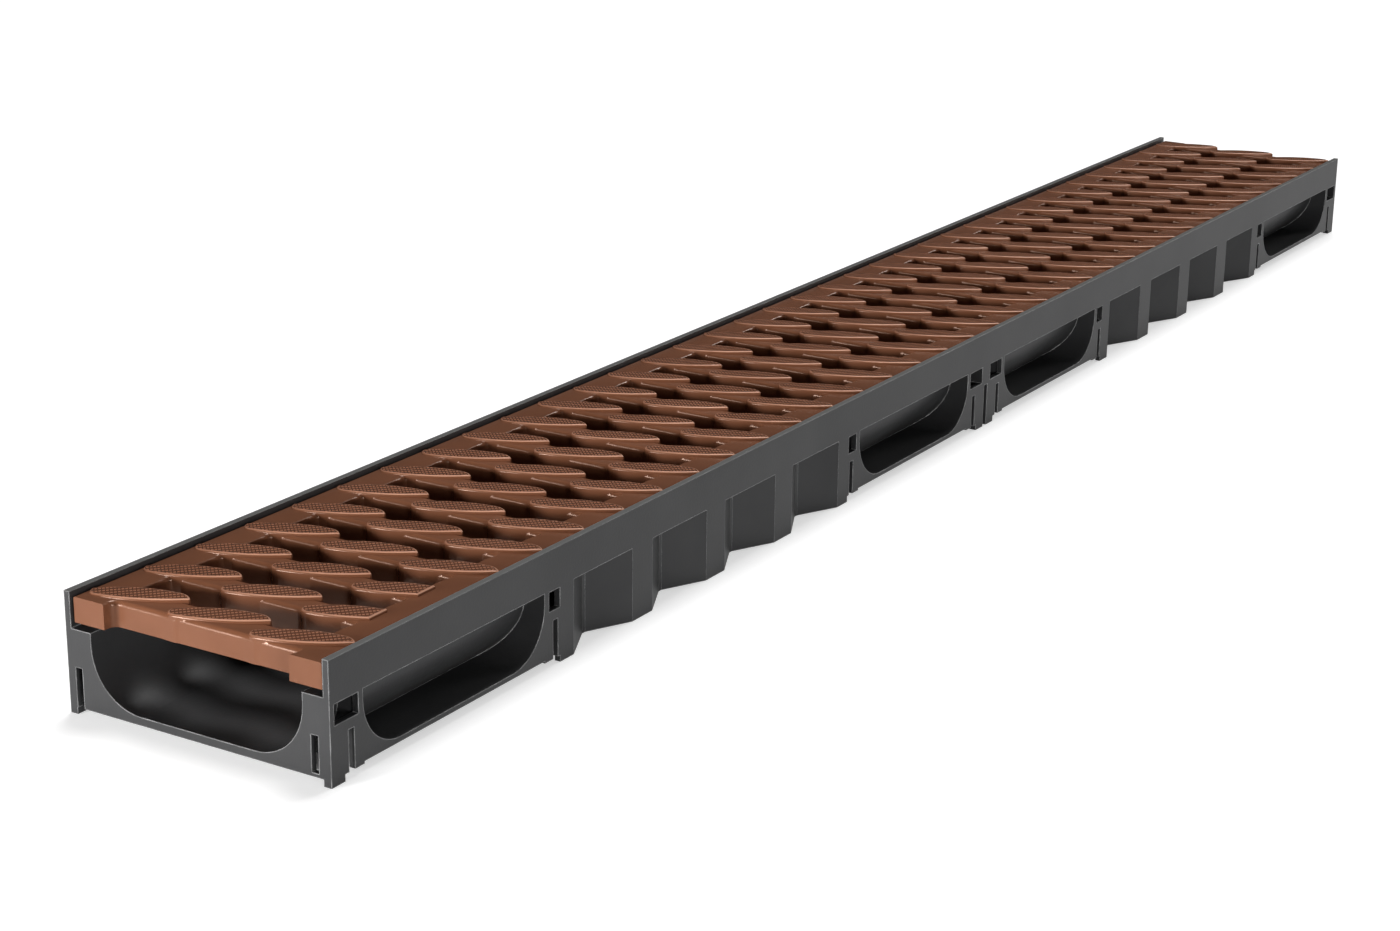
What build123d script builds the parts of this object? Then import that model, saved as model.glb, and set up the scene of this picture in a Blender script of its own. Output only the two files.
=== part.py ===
from build123d import *
import os

# One metre of shallow moulded plastic channel drain, with the leaf-pattern grating that drops
# into it. X runs along the channel, Y across it, Z up. The origin is on the ground under the
# middle of the channel, and all sizes are in millimetres.

# Channel body, overall
channel_length = 1000.0
channel_width = 120.0
channel_height = 47.0

# Walls of the body moulding
side_wall = 2.6
end_wall = 2.5
trough_wall = 2.4
floor_wall = 3.3
web_wall = 2.0
ledge_wall = 2.2

# Trough that carries the water, and its height above the ground
trough_width = 96.4
trough_radius = 22.0
ground_gap = 2.7

# Side skirt under the rim, and the seat of the grating below the rim, lower at the two ends
skirt_depth = 16.4
seat_depth = 11.8
end_seat_drop = 2.2
end_seat_length = 8.0

# Layout along the channel: two equal modules with a slot between them. From its end inwards,
# each module has an end frame, an outlet blank, a mid frame and half of its corrugation.
centre_gap = 3.6
centre_gap_height = 20.8
end_frame = 18.0
mid_frame = 19.2
notch_count = 4
notch_pitch = 55.4
notch_length = 41.0
notch_valley = 2.0

# Outlet blank: a U-shaped pocket in the side, where a branch pipe can be cut in. Its roundness
# is the share of its height that its two lower corners take up.
outlet_floor = 5.6
outlet_wall = 2.0
outlet_roundness = 0.82

# Connector holes and slots of the frames
hole_bottom = 22.4
hole_height = 7.8
end_hole_inset = 2.4
end_hole_length = 13.0
mid_hole_inset = 2.9
mid_hole_length = 7.2
slot_width = 3.2
slot_bottom = 4.2
slot_top = 18.3
end_slot_inset = 9.6
mid_slot_inset = 5.5
closed_slot_inset = 5.3
open_slot_inset = 3.6

# Feet that reach the ground beside the corrugation's own edge
corner_foot_length = 7.4
corner_foot_width = 3.4
mid_foot_length = 9.0

# Grating: clearances to the body, its drop below the rim, its side margins and its bars
grating_side_gap = 1.0
grating_end_gap = 1.0
grating_rim_drop = 2.0
grating_margin = 14.2
bar_count = 36
near_end_bare = 4.6
far_end_bare = 2.0

# The last leaves of these bars stop short on the margin, which leaves a plain field there
short_bars = (1, 2)
short_overlap = 3.6

# One bar, measured along the channel from its nearest point
web_near = 0.2
web_far = 12.3
bar_reach = 17.0
bay_depth = 2.8
bay_start = 6.5
bay_full = 12.0
bay_end = 36.0
bay_step = 6.0

# One leaf, its length measured across the channel from its tip, and its rise above the margin
leaves_per_bar = 3
leaf_length = 38.6
leaf_tip = (3.0, 5.5)
leaf_near_start = (0.4, 6.0)
leaf_near_middle = (3.0, 18.4)
leaf_far_middle = (14.4, 15.0)
leaf_far_peak = 30.0
leaf_end_corner = (16.2, 36.0)
leaf_end = 13.4
leaf_tip_rise = 0.4
leaf_end_rise = 1.5

# Worked out: body
half_length = channel_length / 2
half_width = channel_width / 2
inner_half = half_width - side_wall
skirt_bottom = channel_height - skirt_depth
seat_z = channel_height - seat_depth
end_seat_z = seat_z - end_seat_drop
trough_half = trough_width / 2
shell_half = trough_half + trough_wall
module_length = (channel_length - centre_gap) / 2
module_centre = (centre_gap + module_length) / 2
corrugation = (notch_count - 1) * notch_pitch + notch_length
outlet_length = (module_length - corrugation) / 2 - end_frame - mid_frame
outlet_radius = outlet_roundness * (skirt_bottom - outlet_floor)
slant = (notch_length - notch_valley) / 2 / (half_width - shell_half)

# Worked out: grating
grating_length = channel_length - 2 * grating_end_gap
grating_half = inner_half - grating_side_gap
margin_inner = grating_half - grating_margin
margin_top = channel_height - grating_rim_drop
first_bar = -grating_length / 2 + near_end_bare
last_bar = grating_length / 2 - far_end_bare - bar_reach
bar_pitch = (last_bar - first_bar) / (bar_count - 1)
leaf_pitch = (2 * grating_half - leaf_length) / (leaves_per_bar - 1)

# How far a cut runs past the face that it opens
past = 1.0


def box_between(low, high, mode=Mode.ADD):
    """Adds or cuts the box between its lowest and highest corners."""
    size = [b - a for a, b in zip(low, high)]
    with Locations(low):
        Box(*size, align=Align.MIN, mode=mode)


def u_section(plane, half, bottom, top, radius):
    """Returns an outline that is square at its top and rounded at its bottom corners."""
    with BuildSketch(plane) as section:
        with Locations((0, (bottom + top) / 2)):
            Rectangle(2 * half, top - bottom)
        fillet(section.vertices().group_by(Axis.Y)[0], radius)
    return section.sketch


# The trough from outside, as a solid bar: what is cut from the sides and below stops at it
with BuildPart() as trough_shell:
    shell_radius = trough_radius + trough_wall
    extrude(
        u_section(Plane.YZ, shell_half, ground_gap, channel_height, shell_radius),
        amount=half_length,
        both=True,
    )

# The space inside the trough, which runs through both end walls
with BuildPart() as trough_space:
    trough_floor = ground_gap + floor_wall
    extrude(
        u_section(Plane.YZ, trough_half, trough_floor, channel_height, trough_radius),
        amount=half_length + past,
        both=True,
    )

# One notch of the corrugation: open to the side up to the skirt, and hollow behind the skirt
with BuildPart() as notch:
    with BuildSketch(Plane.XY.offset(-past)):
        Polygon(
            (-notch_length / 2 - past * slant, half_width + past),
            (-notch_valley / 2, shell_half),
            (notch_valley / 2, shell_half),
            (notch_length / 2 + past * slant, half_width + past),
        )
    extrude(amount=skirt_bottom + past)
    with BuildSketch(Plane.XY.offset(skirt_bottom - past)):
        Polygon(
            (-notch_length / 2 + side_wall * slant, inner_half),
            (-notch_valley / 2, shell_half),
            (notch_valley / 2, shell_half),
            (notch_length / 2 - side_wall * slant, inner_half),
        )
    extrude(amount=seat_z - ledge_wall - skirt_bottom + past)

# Half of a module's hollow between trough and outer wall, open to the ground: it follows the
# pads and valleys of the corrugation, and ends in the mid frame
with BuildPart() as corrugation_hollow:
    valley_inner = shell_half - trough_wall
    wall_run = trough_wall * (1 + slant**2) ** 0.5
    pad_half = (notch_pitch - notch_length) / 2 + side_wall * slant - wall_run
    valley_half = pad_half + (inner_half - valley_inner) * slant
    frame_start = corrugation / 2 - side_wall * slant + wall_run
    frame_end = corrugation / 2 + mid_frame - web_wall
    with BuildSketch(Plane.XY.offset(-past)):
        with Locations((0, valley_inner / 2)):
            Rectangle(2 * frame_end, valley_inner)
        with GridLocations(notch_pitch, 1, notch_count - 1, 1):
            Polygon(
                (-valley_half, valley_inner),
                (-pad_half, inner_half),
                (pad_half, inner_half),
                (valley_half, valley_inner),
            )
        for side in (-1, 1):
            Polygon(
                (side * (frame_start - (inner_half - valley_inner) * slant), valley_inner),
                (side * frame_start, inner_half),
                (side * frame_end, inner_half),
                (side * frame_end, valley_inner),
            )
    extrude(amount=seat_z - ledge_wall + past)

# What is cut from the side of one module, on +Y: hollows, outlet blanks, notches and holes
with BuildPart() as module_cuts:
    start = -module_length / 2
    outlet_start = start + end_frame
    mid_start = outlet_start + outlet_length
    box_between(
        (start + end_wall, 0, -past),
        (outlet_start - web_wall, inner_half, end_seat_z - ledge_wall),
    )
    for inset, length, origin in (
        (end_hole_inset, end_hole_length, start),
        (mid_hole_inset, mid_hole_length, mid_start),
    ):
        box_between(
            (origin + inset, valley_inner, hole_bottom),
            (origin + inset + length, half_width + past, hole_bottom + hole_height),
        )
    for slot_start in (start + end_slot_inset, mid_start + mid_slot_inset):
        box_between(
            (slot_start, inner_half - past, -past),
            (slot_start + slot_width, half_width + past, slot_top),
        )
    outlet_middle = outlet_start + outlet_length / 2
    outlet_plane = Plane((outlet_middle, 0, 0), z_dir=(0, 1, 0), x_dir=(-1, 0, 0))
    extrude(
        u_section(outlet_plane, outlet_length / 2, outlet_floor, skirt_bottom, outlet_radius),
        amount=half_width + past,
    )
    box_between(
        (outlet_start, 0, skirt_bottom - past),
        (mid_start, inner_half, seat_z - ledge_wall),
    )
    box_between((outlet_start, 0, -past), (mid_start, half_width + past, outlet_floor - outlet_wall))
    mirror(about=Plane.YZ)
    add(corrugation_hollow.part)
    with GridLocations(notch_pitch, 1, notch_count, 1):
        add(notch.part)

# The feet of one module on +Y
with BuildPart() as module_feet:
    box_between(
        (start, half_width - corner_foot_width, 0),
        (start + corner_foot_length, half_width, ground_gap),
    )
    box_between(
        (-corrugation / 2 - mid_foot_length, inner_half, 0),
        (-corrugation / 2, half_width, ground_gap),
    )
    mirror(about=Plane.YZ)

# All side cuts, stopped at the trough's outer surface
with BuildPart() as side_cuts:
    with Locations((-module_centre, 0), (module_centre, 0)):
        add(module_cuts.part)
    box_between(
        (-centre_gap / 2, 0, -past),
        (centre_gap / 2, half_width + past, centre_gap_height),
    )
    mirror(about=Plane.XZ)
    add(trough_shell.part, mode=Mode.SUBTRACT)

# Channel body: one moulding with its trough, end walls, skirts, frames and corrugated sides
with BuildPart() as channel_body:
    box_between((-half_length, -half_width, 0), (half_length, half_width, channel_height))
    add(trough_space.part, mode=Mode.SUBTRACT)
    box_between(
        (-half_length - past, -inner_half, seat_z),
        (half_length + past, inner_half, channel_height + past),
        mode=Mode.SUBTRACT,
    )
    add(side_cuts.part, mode=Mode.SUBTRACT)
    corrugation_ends = [-half_length - past]
    for middle in (-module_centre, module_centre):
        corrugation_ends += [middle - corrugation / 2, middle + corrugation / 2]
    corrugation_ends += [half_length + past]
    for low, high in zip(corrugation_ends[::2], corrugation_ends[1::2]):
        box_between(
            (low, -half_width - past, -past),
            (high, half_width + past, ground_gap),
            mode=Mode.SUBTRACT,
        )
    for side in (-1, 1):
        edges = sorted((side * (half_length + past), side * (half_length - end_seat_length)))
        box_between(
            (edges[0], -inner_half, end_seat_z),
            (edges[1], inner_half, seat_z + past),
            mode=Mode.SUBTRACT,
        )
        walls = sorted((side * (half_length + past), side * (half_length - end_wall - past)))
        for hand, inset, bottom in (
            (side, closed_slot_inset, slot_bottom),
            (-side, open_slot_inset, -past),
        ):
            slot = sorted(hand * (half_width - inset - w) for w in (0, slot_width))
            box_between(
                (walls[0], slot[0], bottom), (walls[1], slot[1], slot_top), mode=Mode.SUBTRACT
            )
    for hand in (module_feet.part, mirror(module_feet.part, about=Plane.XZ, mode=Mode.PRIVATE)):
        with Locations((-module_centre, 0), (module_centre, 0)):
            add(hand)

# One leaf, standing on the underside of the bars, its top tilted up towards its end
with BuildPart() as leaf:
    with BuildSketch(Plane.XY.offset(seat_z)):
        with BuildLine():
            far_peak = (bar_reach, -leaf_far_peak)
            end = (leaf_end, -leaf_length)
            Line((leaf_tip[0], 0), (leaf_tip[1], 0))
            ThreePointArc((leaf_tip[1], 0), (leaf_far_middle[0], -leaf_far_middle[1]), far_peak)
            Line(far_peak, (leaf_end_corner[0], -leaf_end_corner[1]))
            Line((leaf_end_corner[0], -leaf_end_corner[1]), end)
            near_start = (leaf_near_start[0], -leaf_near_start[1])
            ThreePointArc(end, (leaf_near_middle[0], -leaf_near_middle[1]), near_start)
            Line(near_start, (leaf_tip[0], 0))
        make_face()
    extrude(amount=margin_top + 2 * leaf_end_rise - seat_z)
    tip_point = (0, 0, margin_top + leaf_tip_rise)
    tilt = (0, leaf_end_rise - leaf_tip_rise, leaf_length)
    split(bisect_by=Plane(tip_point, z_dir=tilt), keep=Keep.BOTTOM)

# One bar: a web with a shallow bay behind each leaf's end, and a row of leaves that overlap
with BuildPart() as bar:
    with BuildSketch(Plane.XY.offset(seat_z)):
        with BuildLine():
            bay = web_near + bay_depth
            Line((web_near, grating_half), (web_far, grating_half))
            Line((web_far, grating_half), (web_far, -grating_half))
            Line((web_far, -grating_half), (bay, -grating_half))
            low = -grating_half
            for row in reversed(range(leaves_per_bar)):
                tip_y = grating_half - row * leaf_pitch
                if row < leaves_per_bar - 1:
                    Line((web_near, low), (web_near, tip_y - bay_end - bay_step))
                    Line((web_near, tip_y - bay_end - bay_step), (bay, tip_y - bay_end))
                    low = tip_y - bay_end
                Line((bay, low), (bay, tip_y - bay_full))
                Line((bay, tip_y - bay_full), (web_near, tip_y - bay_start))
                low = tip_y - bay_start
            Line((web_near, low), (web_near, grating_half))
        make_face()
    extrude(amount=margin_top - seat_z)
    with Locations(*[(0, grating_half - row * leaf_pitch) for row in range(leaves_per_bar)]):
        add(leaf.part)

# Grating: one moulding of two margins and all the bars between them
with BuildPart() as grating:
    for low in (-grating_half, margin_inner):
        box_between(
            (-grating_length / 2, low, seat_z),
            (grating_length / 2, low + grating_margin, margin_top),
        )
    with Locations(*[(first_bar + bar * bar_pitch, 0) for bar in range(bar_count)]):
        add(bar.part)
    for index in short_bars:
        bar_x = first_bar + index * bar_pitch
        box_between(
            (bar_x - past, -grating_half - past, margin_top),
            (bar_x + bar_reach + past, -margin_inner - short_overlap, margin_top + 2 * leaf_end_rise),
            mode=Mode.SUBTRACT,
        )

channel_body.part.label = "channel_body"
grating.part.label = "grating"

os.makedirs("parts", exist_ok=True)
export_step(channel_body.part, "parts/channel_body.step")
export_step(grating.part, "parts/grating.step")
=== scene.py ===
import math

import bmesh
import bpy
from mathutils import Matrix, Vector


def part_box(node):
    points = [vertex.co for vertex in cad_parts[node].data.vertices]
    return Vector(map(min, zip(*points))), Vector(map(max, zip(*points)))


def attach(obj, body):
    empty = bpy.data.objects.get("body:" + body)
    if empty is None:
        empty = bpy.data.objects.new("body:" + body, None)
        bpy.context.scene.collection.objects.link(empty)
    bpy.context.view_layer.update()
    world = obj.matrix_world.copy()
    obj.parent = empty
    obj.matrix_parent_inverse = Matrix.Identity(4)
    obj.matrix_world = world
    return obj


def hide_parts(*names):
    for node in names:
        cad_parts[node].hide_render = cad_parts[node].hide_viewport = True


# Looks of the channel drain. Lengths of the grating's details are in millimetres, measured as
# in part.py: u runs along the channel from a bar's near side, v across it from a leaf's tip.

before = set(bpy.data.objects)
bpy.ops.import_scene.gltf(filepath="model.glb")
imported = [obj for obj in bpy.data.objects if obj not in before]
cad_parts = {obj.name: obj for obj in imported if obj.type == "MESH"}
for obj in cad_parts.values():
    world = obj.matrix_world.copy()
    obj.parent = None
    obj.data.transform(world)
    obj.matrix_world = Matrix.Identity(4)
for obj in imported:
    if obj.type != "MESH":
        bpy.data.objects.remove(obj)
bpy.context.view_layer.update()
MM = 0.001

# Grating layout, as in part.py
BAR_COUNT = 36
NEAR_END_BARE = 4.6
FAR_END_BARE = 2.0
BAR_REACH = 17.0
LEAVES_PER_BAR = 3
LEAF_LENGTH = 38.6
MARGIN = 14.2
LEAF_RISE = 1.5
TIP_RISE = 0.4
SHORT_BARS = (1, 2)
SHORT_OVERLAP = 3.6

low_corner, high_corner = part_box("grating")
GRATING_LENGTH = (high_corner.x - low_corner.x) / MM
GRATING_HALF = high_corner.y / MM
UNDERSIDE = low_corner.z / MM
RIM_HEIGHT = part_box("channel_body")[1].z / MM
MARGIN_TOP = high_corner.z / MM - LEAF_RISE
PITCH = (GRATING_LENGTH - NEAR_END_BARE - FAR_END_BARE - BAR_REACH) / (BAR_COUNT - 1)
BAR_OFFSET = NEAR_END_BARE
LEAF_PITCH = (2 * GRATING_HALF - LEAF_LENGTH) / (LEAVES_PER_BAR - 1)
SLOT_HALF = GRATING_HALF - MARGIN

# One bar's web, how far a leaf's wall stands in front of it, and how its edges are rounded
WEB_NEAR = 0.2
WEB_FAR = 12.3
BAY_DEPTH = 2.8
FIRST_BAY_DEPTH = 0.4
BAY_START = 6.0
BAY_END = 35.6
BAY_STEP = 6.6
LEAF_PROUD = 0.2
SHOULDER = 2.0
EDGE = 0.7
CORNER = 3.2
SMALL_CORNER = 0.6

# How finely curves are divided, and how far apart the vertices are that a seam welds
WEB_POINTS = 70
ROUND_STEPS = 5
CORNER_STEPS = 6
SMALL_CORNER_STEPS = 3
SEAM_REACH = 0.01
SHARP_ANGLE = 38

# One leaf: its arcs, each by three points, and the steps along each
LEAF_FAR_ARC = ((5.5, 0.0), (14.4, 15.0), (17.0, 30.0))
LEAF_CAP = ((17.0, 30.0), (16.35, 35.3), (14.2, 38.2))
LEAF_NOSE = ((14.2, 38.2), (13.6, 38.6), (12.9, 38.0))
LEAF_NEAR_ARC = ((12.9, 38.0), (3.0, 18.4), (0.4, 6.0))
LEAF_TIP = ((0.4, 6.0), (1.9, 1.2), (5.5, 0.0))
LEAF_OUTLINE = (
    (LEAF_FAR_ARC, 16), (LEAF_CAP, 6), (LEAF_NOSE, 6), (LEAF_NEAR_ARC, 22), (LEAF_TIP, 8)
)
LEAF_EDGE = 0.9
CUT_CLEARANCE = 0.6

# The rounding's ring at which a leaf's painted rim highlight starts, and the grating's material
# numbers
RIM_RING = 2
HATCHED, RIM = 1, 2

# Cross-hatch on the leaves: each family of grooves by its spacing and the turn of its direction
# in degrees. Every other groove of one family is a little wider.
HATCH = ((1.35, -45.0), (1.35, 45.0), (2.7, 45.0))


def circle_through(start, middle, end):
    """Centre and radius of the circle through three points."""
    (ax, ay), (bx, by), (cx, cy) = start, middle, end
    d = 2 * (ax * (by - cy) + bx * (cy - ay) + cx * (ay - by))
    a2, b2, c2 = ax * ax + ay * ay, bx * bx + by * by, cx * cx + cy * cy
    ox = (a2 * (by - cy) + b2 * (cy - ay) + c2 * (ay - by)) / d
    oy = (a2 * (cx - bx) + b2 * (ax - cx) + c2 * (bx - ax)) / d
    return ox, oy, math.hypot(ax - ox, ay - oy)


def arc(start, middle, end, count):
    """Points along the arc through three points, without its last one."""
    ox, oy, radius = circle_through(start, middle, end)
    first = math.atan2(start[1] - oy, start[0] - ox)
    turn = [(math.atan2(y - oy, x - ox) - first) % (2 * math.pi) for x, y in (middle, end)]
    sweep = turn[1] if turn[0] < turn[1] else turn[1] - 2 * math.pi
    angles = [first + sweep * i / count for i in range(count)]
    return [(ox + radius * math.cos(a), oy + radius * math.sin(a)) for a in angles]


def smooth(t):
    """Runs from 0 to 1 with level ends."""
    t = min(max(t, 0.0), 1.0)
    return t * t * (3 - 2 * t)


def near_side(y, depth):
    """The web's near edge at a place across the channel: it sinks into a bay behind each leaf."""
    bay = WEB_NEAR + depth
    ox, oy, radius = circle_through(*LEAF_NEAR_ARC)
    row = min(int((GRATING_HALF - y - BAY_START) / LEAF_PITCH), LEAVES_PER_BAR - 1)
    v = GRATING_HALF - row * LEAF_PITCH - y
    if row < LEAVES_PER_BAR - 1 and v > BAY_END:
        return bay - depth * smooth((v - BAY_END) / BAY_STEP)
    if v >= oy + radius:
        return bay
    leaf_wall = ox - math.sqrt(radius * radius - (v - oy) ** 2)
    return min(max(leaf_wall + LEAF_PROUD, WEB_NEAR), bay)


def normals(points, closed):
    """Unit normals to the left of an outline's direction, at its points."""
    found = []
    count = len(points)
    for i, here in enumerate(points):
        before = points[i - 1] if closed or i > 0 else here
        after = points[(i + 1) % count] if closed or i < count - 1 else here
        dx, dy = after[0] - before[0], after[1] - before[1]
        size = math.hypot(dx, dy)
        found.append((-dy / size, dx / size))
    return found


def rounded_rings(bm, points, inward, radii, top, steps):
    """Rings of vertices that round an outline's top edge. top gives the height at a point."""
    rings = []
    for step in range(steps + 1):
        angle = math.pi / 2 * step / steps
        ring = []
        for (x, y), (nx, ny), radius in zip(points, inward, radii):
            inset = radius * (1 - math.cos(angle))
            px, py = x + nx * inset, y + ny * inset
            z = top(px, py) - radius * (1 - math.sin(angle))
            ring.append(bm.verts.new((px * MM, py * MM, z * MM)))
        rings.append(ring)
    return rings


def strips(bm, rings, closed):
    """Faces between one ring and the next."""
    for lower, upper in zip(rings, rings[1:]):
        count = len(lower)
        for i in range(count if closed else count - 1):
            j = (i + 1) % count
            bm.faces.new((lower[i], lower[j], upper[j], upper[i]))


def spaced(low, high, count):
    """Evenly spaced values with both ends."""
    return [low + (high - low) * i / (count - 1) for i in range(count)]


def fillet_points(corner, before, after, radius, count):
    """Points that round a square corner between two directions of an outline."""
    cx = corner[0] - radius * before[0] + radius * after[0]
    cy = corner[1] - radius * before[1] + radius * after[1]
    points = []
    for i in range(count + 1):
        a = math.pi / 2 * i / count
        points.append((
            cx - radius * after[0] * math.cos(a) + radius * before[0] * math.sin(a),
            cy - radius * after[1] * math.cos(a) + radius * before[1] * math.sin(a),
        ))
    return points


def shoulder_radii(points):
    """Edge radii along the slot's near side: wide on the web, narrow on the margins."""
    return [EDGE + (SHOULDER - EDGE) * smooth((x - EDGE) / (BAR_OFFSET - EDGE)) for x, y in points]


def base_cell(depth):
    """Margins and web of one pitch of the grating as a closed solid."""
    bm = bmesh.new()
    outer = GRATING_HALF
    across = spaced(SLOT_HALF - CORNER, -SLOT_HALF + SMALL_CORNER, WEB_POINTS)
    near = [(BAR_OFFSET + near_side(y, depth), y) for y in across]
    near_x = near[0][0]
    small = (SMALL_CORNER, SMALL_CORNER_STEPS)
    first_corner = fillet_points((near_x, SLOT_HALF), (1, 0), (0, -1), CORNER, CORNER_STEPS)
    last_corner = fillet_points((near[-1][0], -SLOT_HALF), (0, -1), (-1, 0), *small)
    slot_near = [(0.0, SLOT_HALF)] + first_corner + near[1:-1] + last_corner + [(0.0, -SLOT_HALF)]
    far_x = BAR_OFFSET + WEB_FAR
    slot_far = [(PITCH, -SLOT_HALF)]
    slot_far += fillet_points((far_x, -SLOT_HALF), (-1, 0), (0, 1), *small)
    slot_far += fillet_points((far_x, SLOT_HALF), (0, 1), (1, 0), *small)
    slot_far += [(PITCH, SLOT_HALF)]
    chains = [
        ([(0.0, -outer), (PITCH, -outer)], [EDGE] * 2),
        (slot_far, [EDGE] * len(slot_far)),
        ([(PITCH, outer), (0.0, outer)], [EDGE] * 2),
        (slot_near, shoulder_radii(slot_near)),
    ]
    top_loop, bottom_loop = [], []
    for points, radii in chains:
        inward = normals(points, closed=False)
        for i in (0, -1):
            inward[i] = (0.0, math.copysign(1.0, inward[i][1]))
        rings = rounded_rings(bm, points, inward, radii, lambda x, y: MARGIN_TOP, ROUND_STEPS)
        bottom = [bm.verts.new((x * MM, y * MM, UNDERSIDE * MM)) for x, y in points]
        strips(bm, [bottom] + rings, closed=False)
        top_loop += rings[-1]
        bottom_loop += bottom
    bm.faces.new(top_loop)
    bm.faces.new(list(reversed(bottom_loop)))
    fill_open_ends(bm)
    return bm


def fill_open_ends(bm):
    """Closes the open ends of the margins and turns all faces outwards."""
    bmesh.ops.holes_fill(bm, edges=[e for e in bm.edges if e.is_boundary], sides=0)
    bmesh.ops.recalc_face_normals(bm, faces=bm.faces)


def at_seam(vert):
    """Whether a vertex of one cell lies where the next or last cell joins on."""
    return min(vert.co.x, PITCH * MM - vert.co.x) < SEAM_REACH * MM


def leaf_solid(tip_y, short):
    """One leaf as a closed solid, its top tilted up towards its end and rounded at its edge."""
    bm = bmesh.new()
    outline = [point for places, steps in LEAF_OUTLINE for point in arc(*places, steps)]
    points = [(BAR_OFFSET + u, tip_y - v) for u, v in outline]
    if short:
        points = cut_outline(points, -SLOT_HALF - SHORT_OVERLAP)
    points.reverse()
    inward = normals(points, closed=True)
    slope = (LEAF_RISE - TIP_RISE) / LEAF_LENGTH

    def top(x, y):
        return MARGIN_TOP + TIP_RISE + slope * (tip_y - y)

    rings = rounded_rings(bm, points, inward, [LEAF_EDGE] * len(points), top, ROUND_STEPS)
    bottom = [bm.verts.new((x * MM, y * MM, UNDERSIDE * MM)) for x, y in points]
    strips(bm, [bottom] + rings[:RIM_RING + 1], closed=True)
    before = len(bm.faces)
    strips(bm, rings[RIM_RING:], closed=True)
    bm.faces.ensure_lookup_table()
    for face in bm.faces[before:]:
        face.material_index = RIM
    hatched = bm.faces.new(rings[-1])
    hatched.material_index = HATCHED
    bm.faces.new(list(reversed(bottom)))
    bmesh.ops.recalc_face_normals(bm, faces=bm.faces)
    return bm


def cut_outline(points, limit):
    """The part of a closed outline above a line across the channel."""
    kept = []
    for i, (x, y) in enumerate(points):
        px, py = points[i - 1]
        if (py - limit) * (y - limit) < 0:
            t = (limit - py) / (y - py)
            kept.append((px + t * (x - px), limit))
        if y > limit + CUT_CLEARANCE:
            kept.append((x, y))
    return kept


def as_object(bm, name):
    """A scene object that holds a bmesh."""
    mesh = bpy.data.meshes.new(name)
    bm.to_mesh(mesh)
    bm.free()
    obj = bpy.data.objects.new(name, mesh)
    bpy.context.scene.collection.objects.link(obj)
    return obj


def discard(obj):
    """Removes a helper object and its mesh."""
    mesh = obj.data
    bpy.data.objects.remove(obj)
    bpy.data.meshes.remove(mesh)


def one_cell(short, depth, materials):
    """One pitch of the grating as a mesh open at its ends: margins, web and leaves as one."""
    cell = as_object(base_cell(depth), "cell")
    for material in materials:
        cell.data.materials.append(material)
    for row in range(LEAVES_PER_BAR):
        last = row == LEAVES_PER_BAR - 1
        leaf = as_object(leaf_solid(GRATING_HALF - row * LEAF_PITCH, short and last), "leaf")
        for material in materials:
            leaf.data.materials.append(material)
        join = cell.modifiers.new("join", "BOOLEAN")
        join.operation = "UNION"
        join.solver = "EXACT"
        join.object = leaf
        made = bpy.data.meshes.new_from_object(
            cell.evaluated_get(bpy.context.evaluated_depsgraph_get())
        )
        cell.modifiers.clear()
        old = cell.data
        cell.data = made
        bpy.data.meshes.remove(old)
        discard(leaf)
    mesh = cell.data.copy()
    discard(cell)
    bm = bmesh.new()
    bm.from_mesh(mesh)
    across = [face for face in bm.faces if abs(face.normal.x) > 0.5]
    ends = [face for face in across if all(at_seam(vert) for vert in face.verts)]
    bmesh.ops.delete(bm, geom=ends, context="FACES")
    bm.to_mesh(mesh)
    bm.free()
    return mesh


def build_grating(materials):
    """The whole grating: one cell after another, welded, with closed ends."""
    bm = bmesh.new()
    cells = {
        "first": one_cell(False, FIRST_BAY_DEPTH, materials),
        "short": one_cell(True, BAY_DEPTH, materials),
        "other": one_cell(False, BAY_DEPTH, materials),
    }
    seams = []
    for index in range(BAR_COUNT):
        kind = "first" if index == 0 else "short" if index in SHORT_BARS else "other"
        before = len(bm.verts)
        bm.from_mesh(cells[kind])
        bm.verts.ensure_lookup_table()
        seams += [vert for vert in bm.verts[before:] if at_seam(vert)]
        shift = Vector((-GRATING_LENGTH / 2 + index * PITCH, 0, 0)) * MM
        bmesh.ops.translate(bm, verts=bm.verts[before:], vec=shift)
    for mesh in cells.values():
        bpy.data.meshes.remove(mesh)
    bmesh.ops.remove_doubles(bm, verts=seams, dist=SEAM_REACH * MM)
    whole = bm.verts[:] + bm.edges[:] + bm.faces[:]
    end = Vector((GRATING_LENGTH / 2 * MM, 0, 0))
    bmesh.ops.bisect_plane(bm, geom=whole, plane_co=end, plane_no=(1, 0, 0), clear_outer=True)
    fill_open_ends(bm)
    grating = as_object(bm, "grating_moulding")
    for material in materials:
        grating.data.materials.append(material)
    return grating


def soften(obj):
    """Shades smooth, apart from edges that turn by more than the sharp angle."""
    obj.data.shade_smooth()
    obj.data.set_sharp_from_angle(angle=math.radians(SHARP_ANGLE))
    weighted = obj.modifiers.new("weighted", "WEIGHTED_NORMAL")
    weighted.keep_sharp = True


def new_material(name):
    """An empty node material, its principled shader, and a short way to add and link nodes."""
    material = bpy.data.materials.new(name)
    material.use_nodes = True
    tree = material.node_tree
    shader = tree.nodes["Principled BSDF"]

    def node(kind, **values):
        made = tree.nodes.new(kind)
        for key, value in values.items():
            if hasattr(made, key):
                setattr(made, key, value)
            else:
                made.inputs[key].default_value = value
        return made

    return material, shader, node, tree.links.new


def put(link, value, socket):
    """Gives a socket a value, which is another socket or plain."""
    if isinstance(value, bpy.types.NodeSocket):
        link(value, socket)
    else:
        socket.default_value = value


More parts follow.
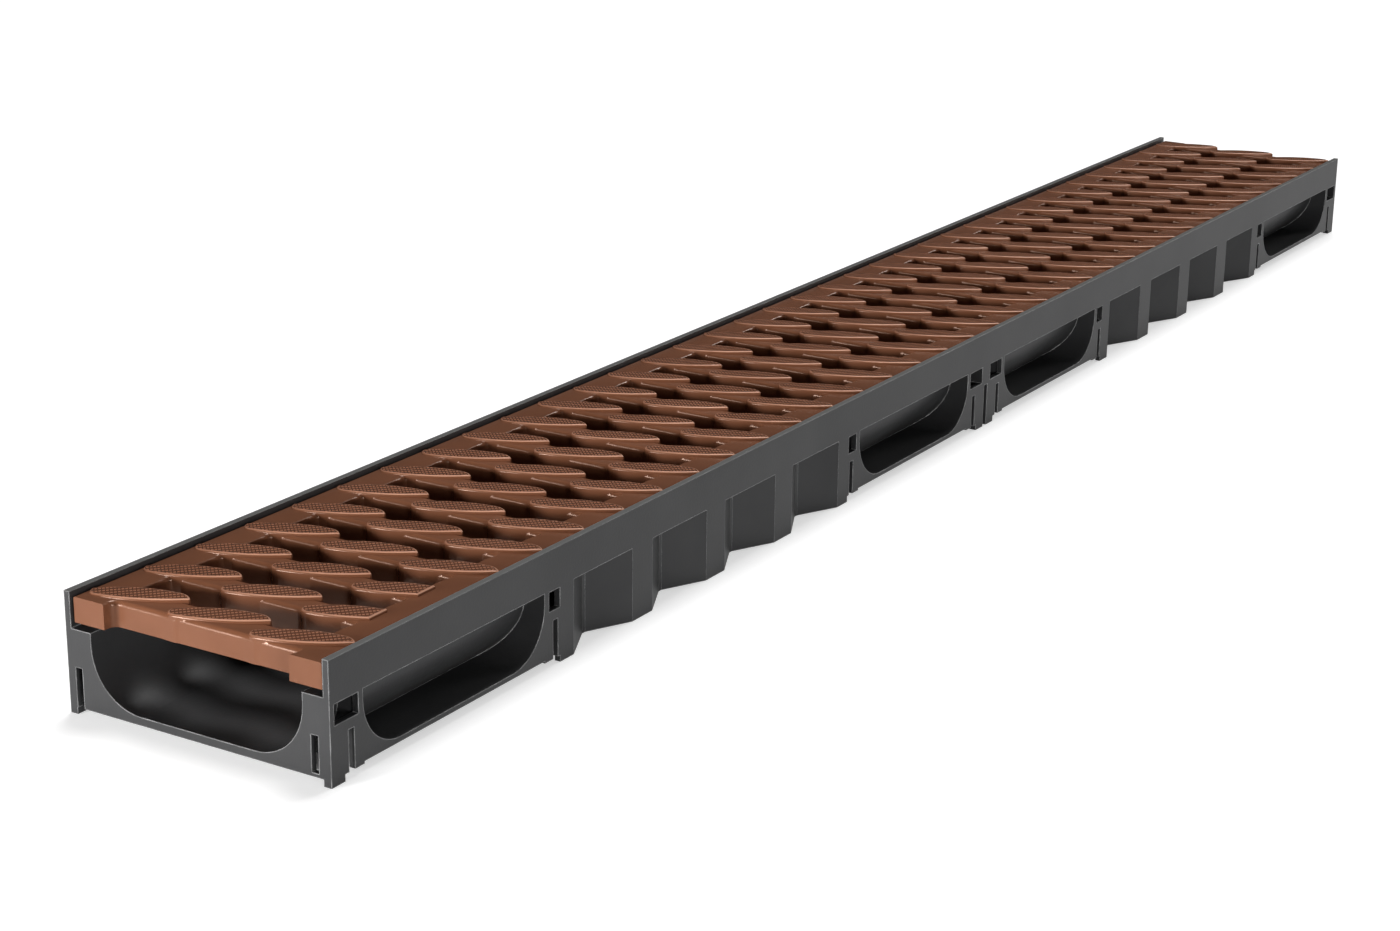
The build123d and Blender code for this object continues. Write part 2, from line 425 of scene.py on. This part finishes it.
def math_node(node, link, operation, *values):
    """A math node on one or two values."""
    made = node("ShaderNodeMath", operation=operation)
    for value, socket in zip(values, made.inputs):
        put(link, value, socket)
    return made.outputs[0]


def map_range(node, link, value, reach, result=(0.0, 1.0), **settings):
    """Maps one range of a value onto another, and holds it at the ends."""
    made = node("ShaderNodeMapRange", **settings)
    for name, number in zip(("From Min", "From Max", "To Min", "To Max"), reach + result):
        made.inputs[name].default_value = number
    link(value, made.inputs["Value"])
    return made.outputs[0]


def mixed(node, link, share, first, second, **settings):
    """Two colours mixed by a share."""
    made = node("ShaderNodeMix", data_type="RGBA", **settings)
    for value, index in ((share, 0), (first, 6), (second, 7)):
        put(link, value, made.inputs[index])
    return made.outputs[2]


def noise(node, link, place, scale, detail, roughness=0.5):
    """An uneven pattern over the object."""
    made = node("ShaderNodeTexNoise", Scale=scale, Detail=detail, Roughness=roughness)
    link(place, made.inputs["Vector"])
    return made.outputs["Fac"]


def clouded(node, link, pattern, ends, tones):
    """A colour that drifts between two tones as a pattern does."""
    made = node("ShaderNodeValToRGB")
    for stop, position, tone in zip(made.color_ramp.elements, ends, tones):
        stop.position = position
        stop.color = tone
    link(pattern, made.inputs["Fac"])
    return made.outputs["Color"]


def bumped(node, link, height, relief, normal=None):
    """A normal that follows a fine relief, given by its strength and its depth in metres."""
    made = node("ShaderNodeBump", Strength=relief[0], Distance=relief[1])
    link(height, made.inputs["Height"])
    if normal:
        link(normal, made.inputs["Normal"])
    return made.outputs["Normal"]


def height_of(node, link, place):
    """The height above the ground."""
    made = node("ShaderNodeSeparateXYZ")
    link(place, made.inputs[0])
    return made.outputs["Z"]


# The black plastic's darker and lighter tones and gloss. Noise is given by its scale and detail,
# and a relief by its strength and its depth in metres.
BLACK = ((0.028, 0.028, 0.029, 1), (0.040, 0.040, 0.041, 1))
BLACK_CLOUD = (22.0, 3.0)
BLACK_CLOUD_ENDS = (0.35, 0.7)
BLACK_ROUGHNESS = 0.4
BLACK_SPECULAR = 0.36
BLACK_GRAIN = (900.0, 2.0)
BLACK_RELIEF = (0.12, 0.0004)

# Its worn edges: their radius in metres, how far the rounded normal turns where they start and
# end, and the patches in which they are worn most
WORN_BLACK = (0.7, 0.7, 0.7, 1)
WORN_RADIUS = 0.0006
WORN_SAMPLES = 4
WORN_TURN = (0.99, 0.9)
WORN_PATCH = (160.0, 4.0, 0.7)
WORN_PATCH_ENDS = (0.4, 0.75)
LEAST_WORN = 0.35

# The top of its rim, paler down to a depth in metres: partly wear, partly a painted highlight
RIM_WEAR_AND_HIGHLIGHT_BLACK = (0.16, 0.16, 0.155, 1)
RIM_WEAR_AND_HIGHLIGHT_DEPTH = 0.0004
RIM_WEAR_AND_HIGHLIGHT_SHARE = 0.7


def body_material():
    """Black moulded plastic: satin, slightly uneven, with scuffed and speckled edges and a paler
    rim top, partly wear and partly a painted highlight.
    """
    material, shader, node, link = new_material("black_plastic")
    place = node("ShaderNodeTexCoord").outputs["Object"]
    pattern = noise(node, link, place, *BLACK_CLOUD)
    colour = clouded(node, link, pattern, BLACK_CLOUD_ENDS, BLACK)
    rounded = node("ShaderNodeBevel", Radius=WORN_RADIUS, samples=WORN_SAMPLES)
    flat = node("ShaderNodeNewGeometry")
    facing = node("ShaderNodeVectorMath", operation="DOT_PRODUCT")
    link(rounded.outputs["Normal"], facing.inputs[0])
    link(flat.outputs["Normal"], facing.inputs[1])
    edge = map_range(node, link, facing.outputs["Value"], WORN_TURN)
    patch = noise(node, link, place, *WORN_PATCH)
    worn = map_range(node, link, patch, WORN_PATCH_ENDS, (LEAST_WORN, 1.0))
    scuffed = math_node(node, link, "MULTIPLY", edge, worn)
    colour = mixed(node, link, scuffed, colour, WORN_BLACK)
    # The rim's top is paler: partly wear, partly a painted highlight along it.
    rim_reach = (RIM_HEIGHT * MM - RIM_WEAR_AND_HIGHLIGHT_DEPTH, RIM_HEIGHT * MM)
    height = height_of(node, link, place)
    rim_top = map_range(node, link, height, rim_reach, (0.0, RIM_WEAR_AND_HIGHLIGHT_SHARE))
    colour = mixed(node, link, rim_top, colour, RIM_WEAR_AND_HIGHLIGHT_BLACK)
    link(colour, shader.inputs["Base Color"])
    shader.inputs["Roughness"].default_value = BLACK_ROUGHNESS
    shader.inputs["Specular IOR Level"].default_value = BLACK_SPECULAR
    grain = noise(node, link, place, *BLACK_GRAIN)
    normal = bumped(node, link, grain, BLACK_RELIEF, rounded.outputs["Normal"])
    link(normal, shader.inputs["Normal"])
    return material


# The brown plastic's darker and lighter tones: plain, between the grooves, and on the rims, where
# the paler tones are a painted highlight
BROWN = ((0.155, 0.059, 0.029, 1), (0.190, 0.074, 0.038, 1))
HATCHED_BROWN = ((0.340, 0.135, 0.073, 1), (0.410, 0.166, 0.091, 1))
RIM_HIGHLIGHT_BROWN = ((0.420, 0.200, 0.125, 1), (0.560, 0.300, 0.200, 1))
BROWN_CLOUD = (30.0, 3.0)
BROWN_CLOUD_ENDS = (0.3, 0.75)
BROWN_ROUGHNESS = 0.27
BROWN_TINT = (1.0, 0.70, 0.56, 1)
BROWN_GRAIN = (1400.0, 1.0)
BROWN_RELIEF = (0.1, 0.0002)

# The cross-hatch: the shares of the spacing at which a groove's bottom ends and its top starts,
# how much light it keeps, and its relief
GROOVE_ENDS = (0.09, 0.2)
GROOVE_SHADE = 0.27
GROOVE_RELIEF = (0.35, 0.0002)
HATCHED_SPECULAR = 0.3

# Heights over the margins between which the painted highlight on the leaves' rims fades in, in
# millimetres
RIM_HIGHLIGHT_FROM = 0.1
RIM_HIGHLIGHT_TO = 0.9


def hatch_height(node, link, place, spacing, angle):
    """The height of one family of fine parallel grooves, 0 in a groove and 1 between them."""
    split = node("ShaderNodeSeparateXYZ")
    link(place, split.inputs[0])
    along = math_node(node, link, "MULTIPLY", split.outputs[0], math.cos(angle) / spacing)
    across = math_node(node, link, "MULTIPLY", split.outputs[1], math.sin(angle) / spacing)
    total = math_node(node, link, "ADD", along, across)
    saw = math_node(node, link, "FRACT", total)
    centred = math_node(node, link, "SUBTRACT", saw, 0.5)
    distance = math_node(node, link, "ABSOLUTE", centred)
    return map_range(node, link, distance, GROOVE_ENDS, interpolation_type="SMOOTHSTEP")


def grating_material(name, tones, hatch=False, low_tone=None):
    """Copper-brown moulded plastic, satin: cross-hatched if asked, or with a painted highlight
    where it is high.
    """
    material, shader, node, link = new_material(name)
    place = node("ShaderNodeTexCoord").outputs["Object"]
    pattern = noise(node, link, place, *BROWN_CLOUD)
    colour = clouded(node, link, pattern, BROWN_CLOUD_ENDS, tones)
    shader.inputs["Roughness"].default_value = BROWN_ROUGHNESS
    shader.inputs["Specular Tint"].default_value = BROWN_TINT
    grain = noise(node, link, place, *BROWN_GRAIN)
    normal = bumped(node, link, grain, BROWN_RELIEF)
    if hatch:
        shader.inputs["Specular IOR Level"].default_value = HATCHED_SPECULAR
        relief = 1.0
        for pitch, turn in HATCH:
            family = hatch_height(node, link, place, pitch * MM, math.radians(turn))
            relief = math_node(node, link, "MINIMUM", family, relief)
        normal = bumped(node, link, relief, GROOVE_RELIEF, normal)
        shade = map_range(node, link, relief, (0.0, 1.0), (GROOVE_SHADE, 1.0))
        colour = mixed(node, link, 1.0, colour, shade, blend_type="MULTIPLY")
    if low_tone:
        # The paler tones on high parts are a painted highlight; low parts keep the low tone.
        reach = ((MARGIN_TOP + RIM_HIGHLIGHT_FROM) * MM, (MARGIN_TOP + RIM_HIGHLIGHT_TO) * MM)
        rim_highlight = map_range(node, link, height_of(node, link, place), reach)
        colour = mixed(node, link, rim_highlight, low_tone, colour)
    link(normal, shader.inputs["Normal"])
    link(colour, shader.inputs["Base Color"])
    return material


def dress_body():
    """The channel keeps its CAD shape; its material rounds the edges."""
    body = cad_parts["channel_body"]
    body.data.materials.clear()
    body.data.materials.append(body_material())


def dress_grating():
    """The grating's moulding in full detail, in place of its CAD node."""
    plain = grating_material("brown_plastic", BROWN)
    hatched = grating_material("brown_plastic_hatched", HATCHED_BROWN, hatch=True)
    # The leaves' rims in paler tones: a painted highlight that fades towards the tips.
    rim_highlight = grating_material("brown_plastic_rim_highlight", RIM_HIGHLIGHT_BROWN, low_tone=BROWN[1])
    grating = build_grating((plain, hatched, rim_highlight))
    soften(grating)
    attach(grating, "root")
    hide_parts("grating")
    return grating


def soft_lamp(name, source, strength, distance, width):
    """A lamp in a direction: a round one at a distance, or a sun where the distance is 0."""
    if distance:
        lamp = bpy.data.lights.new(name, "AREA")
        lamp.shape = "DISK"
        lamp.size = width
        lamp.energy = strength * math.pi * distance * distance
    else:
        lamp = bpy.data.lights.new(name, "SUN")
        lamp.angle = width
        lamp.energy = strength
    obj = bpy.data.objects.new(name, lamp)
    obj.rotation_euler = Vector(source).to_track_quat("Z", "Y").to_euler()
    obj.location = Vector(source).normalized() * (distance or 1.0)
    bpy.context.scene.collection.objects.link(obj)


# Lamps: direction, strength at the origin, distance and width in metres, or a sun's angle
LAMPS = (
    ("near_left", (-0.93, 0.34, 0.12), 2.9, 2.2, 0.55),
    ("above", (0.4, 0.1, 1.0), 2.1, 0, 0.42),
    ("far_right", (0.84, -0.28, 0.4), 0.65, 4.0, 1.0),
    ("front", (-0.8, -0.95, 0.13), 1.3, 1.9, 0.5),
)
WORLD_STRENGTH = 0.03
FLOOR_COLOUR = (0.7, 0.7, 0.7, 1)
FLOOR_ROUGHNESS = 0.8
FLOOR_HALF = 20.0
FLOOR_GLOW = 0.55
MIRRORED_GLOW = 0.4
WHITE = (1, 1, 1, 1)
# Half sizes of the floor under the channel, which gets no glow and stays dark: a painted shadow
PAINTED_SHADOW_HALF = (0.49, 0.05)


def studio():
    """A pale floor, dark under the channel as a painted shadow, and a soft, plain light."""
    bm = bmesh.new()
    bmesh.ops.create_grid(bm, x_segments=1, y_segments=1, size=FLOOR_HALF)
    floor = as_object(bm, "floor")
    material, shader, node, link = new_material("floor")
    shader.inputs["Base Color"].default_value = FLOOR_COLOUR
    shader.inputs["Roughness"].default_value = FLOOR_ROUGHNESS
    rays = node("ShaderNodeLightPath")
    mirrored = math_node(node, link, "MULTIPLY", rays.outputs["Is Glossy Ray"], MIRRORED_GLOW)
    seen = math_node(node, link, "MAXIMUM", rays.outputs["Is Camera Ray"], mirrored)
    seen = math_node(node, link, "MAXIMUM", seen, rays.outputs["Is Transmission Ray"])
    # No glow on the floor under the channel: a painted shadow there.
    place = node("ShaderNodeTexCoord")
    spot = node("ShaderNodeSeparateXYZ")
    link(place.outputs["Object"], spot.inputs[0])
    outside = 0.0
    for axis, half in enumerate(PAINTED_SHADOW_HALF):
        away = math_node(node, link, "ABSOLUTE", spot.outputs[axis])
        beyond = math_node(node, link, "GREATER_THAN", away, half)
        outside = math_node(node, link, "MAXIMUM", beyond, outside)
    seen = math_node(node, link, "MULTIPLY", seen, outside)
    glow = math_node(node, link, "MULTIPLY", seen, FLOOR_GLOW)
    link(glow, shader.inputs["Emission Strength"])
    shader.inputs["Emission Color"].default_value = WHITE
    floor.data.materials.append(material)
    world = bpy.data.worlds.new("world")
    world.use_nodes = True
    background = world.node_tree.nodes["Background"]
    background.inputs["Color"].default_value = WHITE
    background.inputs["Strength"].default_value = WORLD_STRENGTH
    bpy.context.scene.world = world
    for name, source, strength, distance, width in LAMPS:
        soft_lamp(name, source, strength, distance, width)


# Camera of the photograph, solved from the channel's edges in it
CAMERA_PLACE = (-1.1567, -0.6074, 0.3939)
CAMERA_YAW = 0.5501
CAMERA_PITCH = -0.3162
CAMERA_ROLL = 0.0127
SENSOR_WIDTH = 36.0
FOCAL_SHARE = 2733.9 / 1400
NEAREST, FURTHEST = 0.01, 100.0


def photo_camera():
    """The camera at the photograph's place and angle."""
    data = bpy.data.cameras.new("camera")
    data.sensor_width = SENSOR_WIDTH
    data.lens = SENSOR_WIDTH * FOCAL_SHARE
    data.clip_start = NEAREST
    data.clip_end = FURTHEST
    forward = Vector((
        math.cos(CAMERA_YAW) * math.cos(CAMERA_PITCH),
        math.sin(CAMERA_YAW) * math.cos(CAMERA_PITCH),
        math.sin(CAMERA_PITCH),
    ))
    right = Vector((math.sin(CAMERA_YAW), -math.cos(CAMERA_YAW), 0.0))
    up = right.cross(forward)
    tilted_right = right * math.cos(CAMERA_ROLL) + up * math.sin(CAMERA_ROLL)
    tilted_up = up * math.cos(CAMERA_ROLL) - right * math.sin(CAMERA_ROLL)
    camera = bpy.data.objects.new("camera", data)
    turn = Matrix((tilted_right, tilted_up, -forward)).transposed().to_4x4()
    camera.matrix_world = Matrix.Translation(CAMERA_PLACE) @ turn
    bpy.context.scene.collection.objects.link(camera)
    bpy.context.scene.camera = camera


dress_body()
dress_grating()
studio()
photo_camera()
bpy.context.scene.view_settings.view_transform = "Standard"
